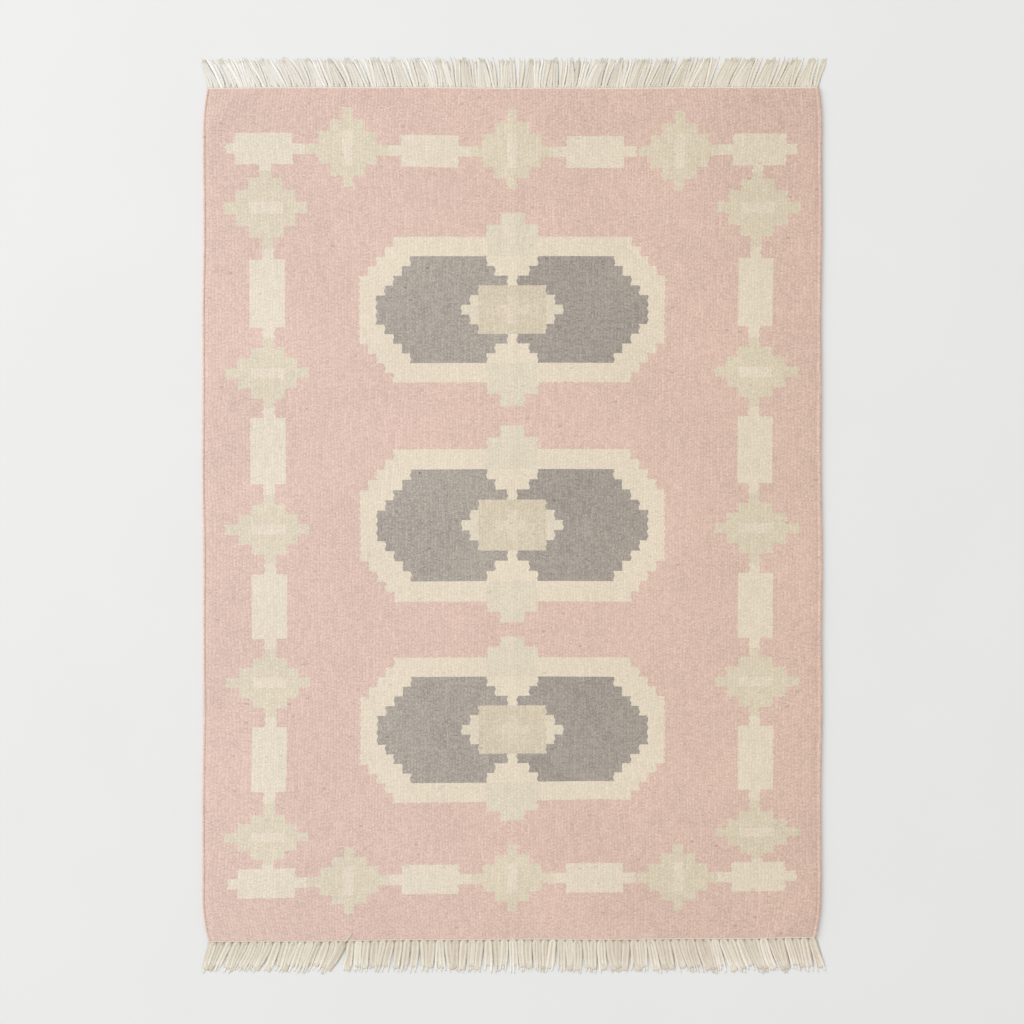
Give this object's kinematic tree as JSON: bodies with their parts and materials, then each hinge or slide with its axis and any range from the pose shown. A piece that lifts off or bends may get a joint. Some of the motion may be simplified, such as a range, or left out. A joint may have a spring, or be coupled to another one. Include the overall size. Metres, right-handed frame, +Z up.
{
  "type": "flatweave rug",
  "caption": "Rectangular flatwoven floor rug lying flat, with bound side edges and a knotted warp fringe along each end.",
  "frame": {"origin": "centre of the woven cloth's underside, on the floor plane", "axes": "+X across the warp, +Y along the warp towards the end with the finer knots, +Z up out of the floor"},
  "size_m": [1.2105, 1.7791, 0.0072],
  "materials": {
    "flatwoven_wool": "matt, ribbed weft-faced weave in pink, cream and grey wool",
    "fringe_cotton": "matt twisted warp yarn, undyed"
  },
  "bodies": {
    "root": {"rug_cloth": "flatwoven_wool", "fringe_far_end": "fringe_cotton", "fringe_near_end": "fringe_cotton"}
  },
  "joints": []
}
